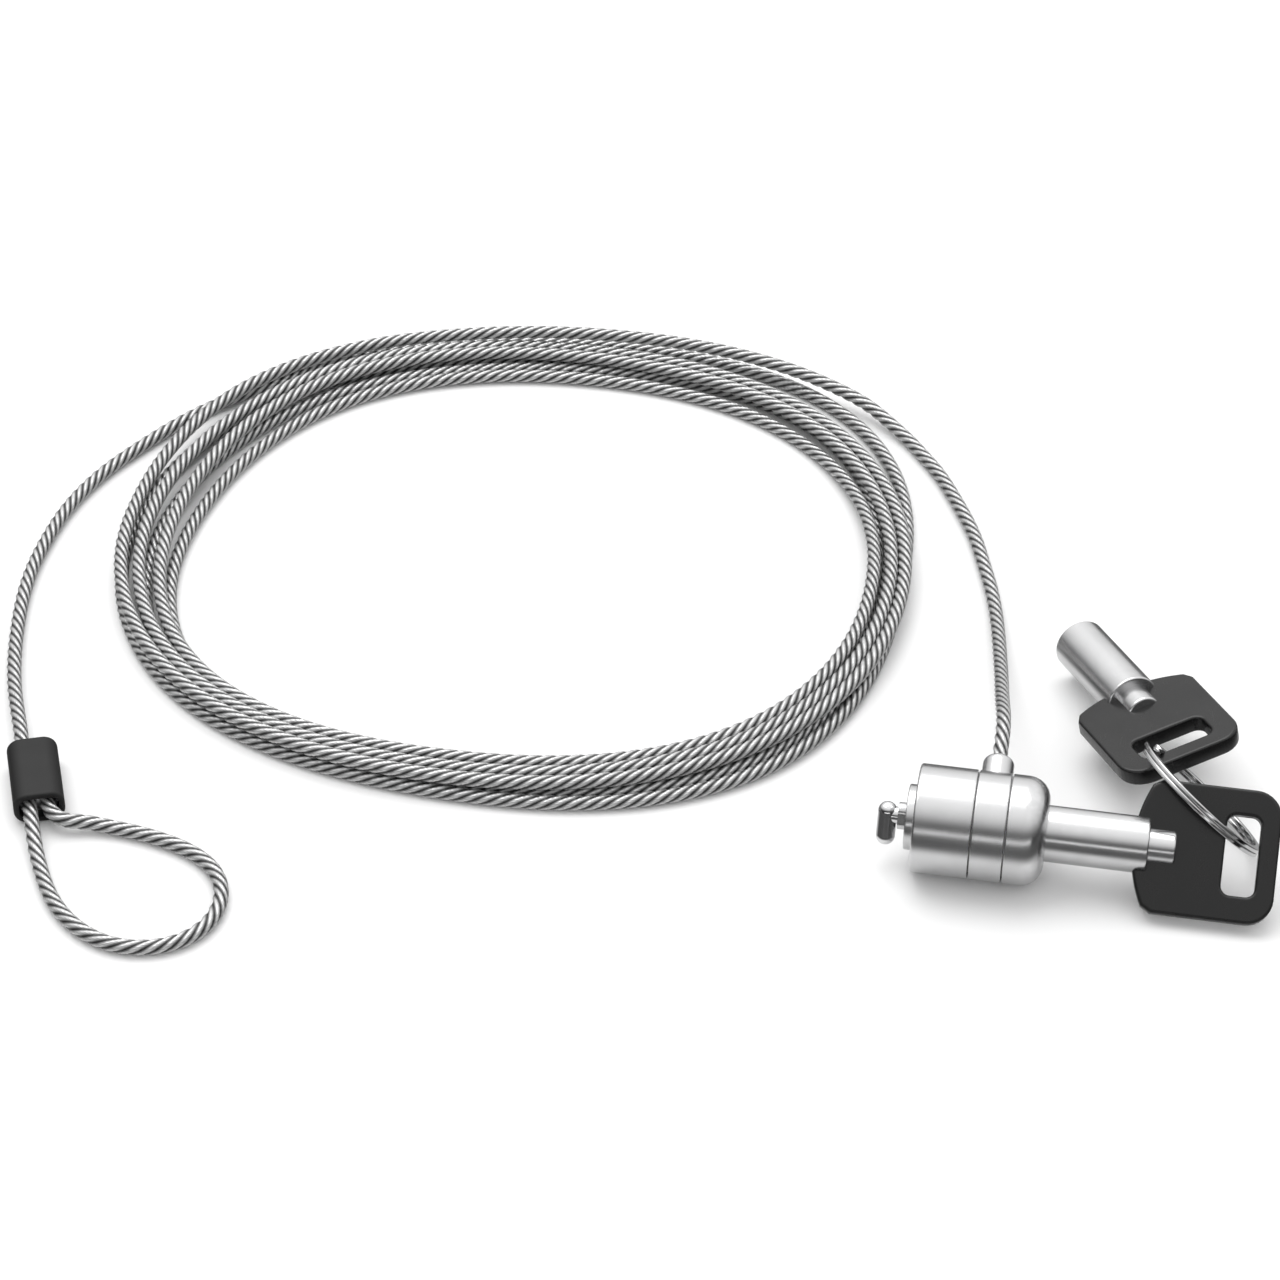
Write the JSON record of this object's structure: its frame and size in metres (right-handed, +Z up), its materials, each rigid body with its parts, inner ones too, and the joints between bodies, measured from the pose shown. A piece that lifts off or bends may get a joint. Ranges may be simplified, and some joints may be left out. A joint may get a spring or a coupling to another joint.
{
  "type": "laptop cable lock",
  "caption": "T-bar lock head on a swivel collar, coiled wire rope with a crimped anchor loop, and tubular keys on a split ring.",
  "frame": {"origin": "middle of the seating disc's front face, where the lock meets a computer's security slot, on the lock's axis", "axes": "+X along the lock's axis from the T-bar to the key, +Z up, and the table is 8.25 mm below the axis"},
  "size_m": [0.2077, 0.177, 0.019],
  "materials": {
    "satin_nickel": "satin nickel plate",
    "chrome": "bright plate",
    "brass": "turned brass",
    "spring_steel": "bright spring steel",
    "nylon": "natural nylon",
    "wire_rope": "stranded steel under a clear coat",
    "crimp_aluminium": "pressed",
    "dark_sleeve": "matt dark grey",
    "ring_steel": "bright, lightly scratched",
    "black_plastic": "black, moulded, semi-gloss"
  },
  "bodies": {
    "root": {"swivel_collar": "satin_nickel", "cable_ferrule": "satin_nickel", "cable_end": "wire_rope", "cable_lead": "wire_rope", "cable_coil": "wire_rope", "cable_tail": "wire_rope", "cable_in_sleeve": "wire_rope", "cable_loop": "wire_rope", "crimp_ferrule": "crimp_aluminium", "crimp_cover": "dark_sleeve"},
    "lock_head": {"nose_housing": "satin_nickel", "guide_disc": "satin_nickel", "rear_housing": "satin_nickel", "lock_shell": "brass", "stator": "brass", "driver_pins": "brass", "pin_springs": "spring_steel", "collar_washers": "nylon", "nose_dowel": "spring_steel", "retaining_pin": "spring_steel", "spindle_washer": "spring_steel"},
    "plug": {"plug_drum": "brass", "t_spindle": "chrome", "spindle_clip": "spring_steel", "drive_pin": "spring_steel", "key_pins": "brass"},
    "key_1": {"key_1_tube": "satin_nickel", "key_1_shank": "chrome", "key_1_bow": "black_plastic"},
    "ring": {"split_ring": "ring_steel"},
    "key_2": {"key_2_tube": "satin_nickel", "key_2_shank": "chrome", "key_2_bow": "black_plastic"}
  },
  "joints": [
    {"name": "head_swivel", "type": "hinge", "parent": "root", "child": "lock_head", "pos_m": [0.0126, 0, 0], "axis": [1, 0, 0], "continuous": true},
    {"name": "plug_turn", "type": "hinge", "parent": "lock_head", "child": "plug", "pos_m": [0.0105, 0, 0], "axis": [1, 0, 0], "range_deg": [0, 90]},
    {"name": "key_pull", "type": "slide", "parent": "plug", "child": "key_1", "axis": [1, 0, 0], "range_m": [0, 0.015]},
    {"name": "ring_swing", "type": "hinge", "parent": "key_1", "child": "ring", "pos_m": [0.0498, 0.00115, 0.00111], "axis": [0.6067, 0.391, 0.6921], "range_deg": [0, 40]},
    {"name": "key_2_swing", "type": "hinge", "parent": "ring", "child": "key_2", "pos_m": [0.03705, 0.02134, 0.00092], "axis": [-0.6012, -0.3441, 0.7212], "range_deg": [-15, 40]}
  ]
}
